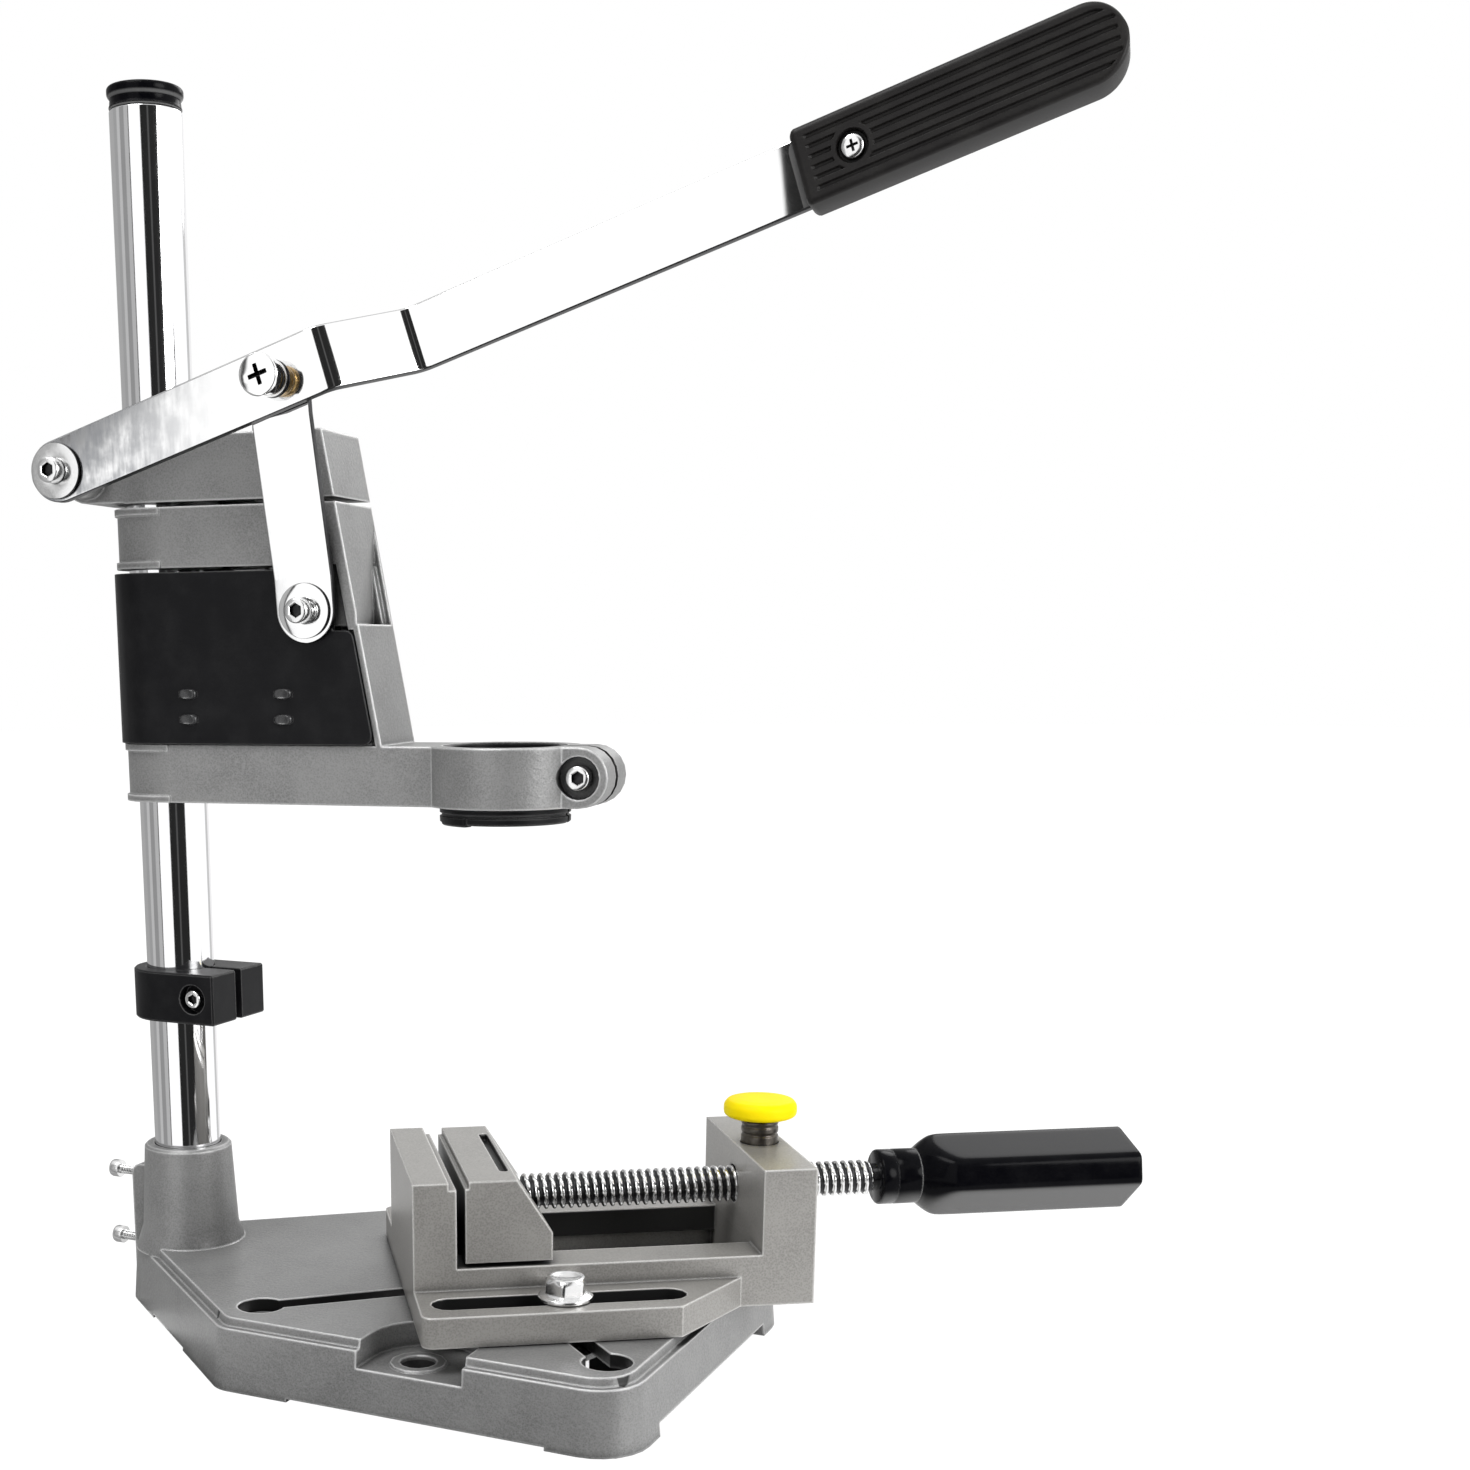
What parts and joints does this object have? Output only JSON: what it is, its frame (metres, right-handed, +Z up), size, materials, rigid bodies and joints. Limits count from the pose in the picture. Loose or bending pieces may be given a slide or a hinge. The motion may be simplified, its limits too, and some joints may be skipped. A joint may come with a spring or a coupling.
{
  "type": "drill stand",
  "caption": "Bench drill stand with a chrome column, a lever-fed carriage with a split ring for a hand drill, and a small drill vise on its slotted base.",
  "frame": {"origin": "on the column's axis, in the plane that the base's feet stand on", "axes": "+Z up along the column; +X from the column along the base plate; -Y is the side of the hand lever. The arm rests swung 7.8 degrees about +Z from +X towards +Y."},
  "size_m": [0.3708, 0.2232, 0.4345],
  "materials": {
    "cast_grey": "grey hammered paint on castings, satin",
    "vise_grey": "warm grey paint on castings, satin",
    "chrome": "polished chrome plate",
    "zinc": "bright zinc plated steel",
    "dark_steel": "blackened steel",
    "black_plastic": "black satin plastic",
    "gloss_black": "gloss black plastic",
    "yellow_plastic": "bright yellow gloss plastic"
  },
  "bodies": {
    "base": {"base_casting": "cast_grey", "socket_screw_upper": "dark_steel", "socket_screw_lower": "dark_steel", "vise_bolt_near": "zinc", "vise_bolt_far": "zinc", "vise_washer_near": "zinc", "vise_washer_far": "zinc", "vise_nut_near": "zinc", "vise_nut_far": "zinc"},
    "column": {"column_tube": "chrome", "column_cap": "black_plastic"},
    "stop": {"stop_collar": "black_plastic", "stop_screw": "zinc", "stop_nut": "zinc"},
    "head": {"head_bracket": "cast_grey", "pivot_bolt": "zinc", "pivot_washer": "zinc", "pivot_sleeve": "zinc", "pivot_nut": "zinc", "guide_rod": "zinc", "rod_end_nut": "zinc", "rod_washer": "zinc", "rod_top_nut": "zinc", "return_spring": "zinc"},
    "lever": {"lever_bar": "zinc", "lever_grip": "black_plastic", "grip_screw": "dark_steel", "link_screw": "zinc", "link_collar": "dark_steel", "link_collar_washer": "zinc", "link_screw_nut": "zinc"},
    "link": {"link_plate": "zinc"},
    "carriage": {"carriage_casting": "cast_grey", "spring_cover": "black_plastic", "cover_screw_1": "dark_steel", "cover_screw_2": "dark_steel", "cover_screw_3": "dark_steel", "cover_screw_4": "dark_steel", "band_screw": "dark_steel", "reducing_sleeve": "black_plastic", "clamp_bolt": "zinc", "clamp_nut": "zinc", "link_bolt": "zinc", "link_washer": "zinc"},
    "vise": {"vise_casting": "vise_grey", "release_bush": "dark_steel", "release_spring": "zinc"},
    "jaw": {"movable_jaw": "vise_grey", "jaw_keeper": "zinc", "keeper_screw": "zinc", "screw_pin": "zinc"},
    "screw": {"lead_screw": "zinc", "screw_handle": "gloss_black", "handle_pin": "zinc"},
    "release": {"release_pin": "zinc", "release_knob": "yellow_plastic"}
  },
  "joints": [
    {"name": "column_swivel", "type": "hinge", "parent": "base", "child": "column", "pos_m": [0, 0, 0.04], "axis": [0, 0, 1], "range_deg": [-180, 180]},
    {"name": "stop_height", "type": "slide", "parent": "column", "child": "stop", "axis": [0, 0, 1], "range_m": [-0.048, 0.008]},
    {"name": "head_height", "type": "slide", "parent": "column", "child": "head", "axis": [0, 0, 1], "range_m": [0, 0.1]},
    {"name": "lever_swing", "type": "hinge", "parent": "head", "child": "lever", "pos_m": [-0.0218, -0.00299, 0.3065], "axis": [-0.1357, 0.9907, 0], "range_deg": [0, 36]},
    {"name": "link_swing", "type": "hinge", "parent": "lever", "child": "link", "pos_m": [0.0589, 0.00807, 0.33249], "axis": [-0.1357, 0.9907, 0], "range_deg": [-36, 0]},
    {"name": "carriage_travel", "type": "slide", "parent": "head", "child": "carriage", "axis": [0, 0, -1], "range_m": [0, 0.053], "stiffness_N_per_m": 700, "springref_m": -0.035, "deforming": ["return_spring"]},
    {"name": "vise_shift", "type": "slide", "parent": "base", "child": "vise", "axis": [0.829, 0.5592, 0], "range_m": [-0.015, 0.012]},
    {"name": "jaw_travel", "type": "slide", "parent": "vise", "child": "jaw", "axis": [0.829, 0.5592, 0], "range_m": [-0.0027, 0.06]},
    {"name": "screw_spin", "type": "hinge", "parent": "jaw", "child": "screw", "pos_m": [0.18684, 0.03551, 0.0583], "axis": [0.829, 0.5592, 0], "range_deg": [-330, 7230]},
    {"name": "release_lift", "type": "slide", "parent": "vise", "child": "release", "axis": [0, 0, 1], "range_m": [0, 0.0045], "stiffness_N_per_m": 400, "springref_m": -0.005, "deforming": ["release_spring"]}
  ],
  "couplings": [
    {"joint": "link_swing", "follows": "lever_swing", "ratio": -1},
    {"joint": "carriage_travel", "follows": "lever_swing", "m_per_rad": 0.0841},
    {"joint": "screw_spin", "follows": "jaw_travel", "rad_per_m": 2094.4}
  ]
}
